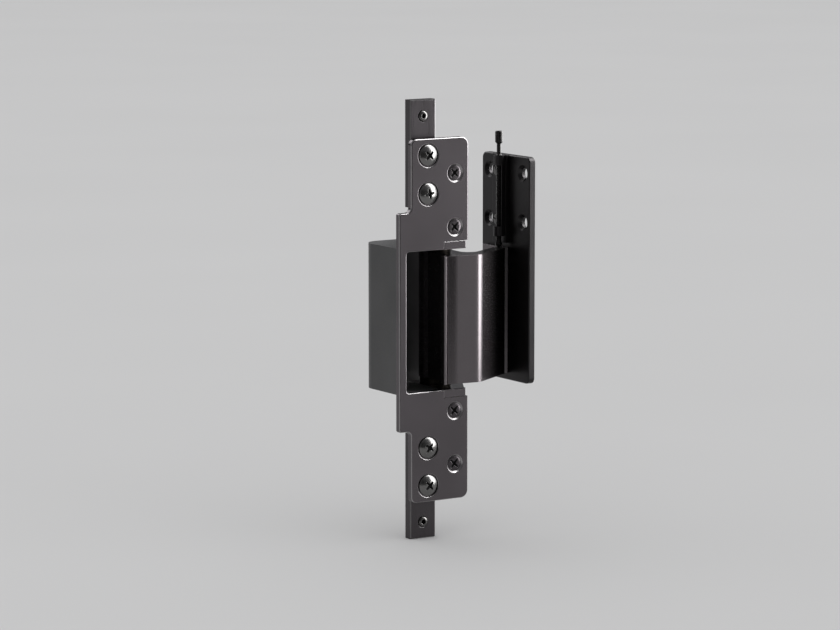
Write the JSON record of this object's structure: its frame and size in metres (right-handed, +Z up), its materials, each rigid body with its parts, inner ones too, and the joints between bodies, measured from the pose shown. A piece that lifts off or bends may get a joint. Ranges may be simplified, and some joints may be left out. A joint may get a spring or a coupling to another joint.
{
  "type": "concealed door hinge",
  "caption": "Concealed door hinge: cover plate with recessed pocket, swan-neck arm on a vertical pin and height-adjustable leaf bracket, clamped in a frame groove.",
  "frame": {"origin": "back of the frame cover plate, at mid height, 25.2 mm left of its right edge", "axes": "+X across the cover plate towards the leaf in the open pose, +Y into the frame profile, +Z up"},
  "size_m": [0.0775, 0.0462, 0.2214],
  "materials": {
    "plate_metal": "satin anthracite with bright cut edges",
    "bearer_metal": "satin anthracite",
    "arm_metal": "satin anthracite anodised",
    "liner_plastic": "matt black",
    "bar_metal": "satin dark grey",
    "bright_screw": "polished dark nickel",
    "dark_screw": "satin black",
    "steel_small": "satin",
    "steel_pin": "ground",
    "bush_bronze": "oil-dark sintered bronze",
    "leaf_metal": "satin black",
    "steel_spindle": "satin"
  },
  "bodies": {
    "frame": {"frame_plate": "plate_metal", "frame_housing": "liner_plastic", "upper_pivot_bearer": "bearer_metal", "lower_pivot_bearer": "bearer_metal", "upper_clamp_bar": "bar_metal", "lower_clamp_bar": "bar_metal", "clamp_set_screws": "steel_small", "clamp_pan_screws": "bright_screw", "bearer_screws": "dark_screw", "anchor_screws": "dark_screw", "housing_screws": "steel_small", "pin_lock_screws": "steel_small", "pivot_pin": "steel_pin"},
    "arm": {"swing_arm": "arm_metal", "upper_bush": "bush_bronze", "lower_bush": "bush_bronze", "spindle_seat": "steel_small"},
    "leaf": {"leaf_plate": "leaf_metal", "leaf_upright": "leaf_metal", "upright_screws": "dark_screw", "slot_screws": "steel_small", "slot_washers": "steel_small"},
    "spindle": {"height_spindle": "steel_spindle"}
  },
  "joints": [
    {"name": "door_swing", "type": "hinge", "parent": "frame", "child": "arm", "pos_m": [0.02115, 0.021, 0], "axis": [0, 0, 1], "range_deg": [-90, 15]},
    {"name": "height_adjust", "type": "slide", "parent": "arm", "child": "leaf", "axis": [0, 0, 1], "range_m": [-0.002, 0.002]},
    {"name": "spindle_turn", "type": "hinge", "parent": "arm", "child": "spindle", "pos_m": [0.0541, 0.0127, 0.06], "axis": [0, 0, 1], "range_deg": [-1450, 1450]}
  ],
  "couplings": [
    {"joint": "spindle_turn", "follows": "height_adjust", "rad_per_m": -12566}
  ]
}
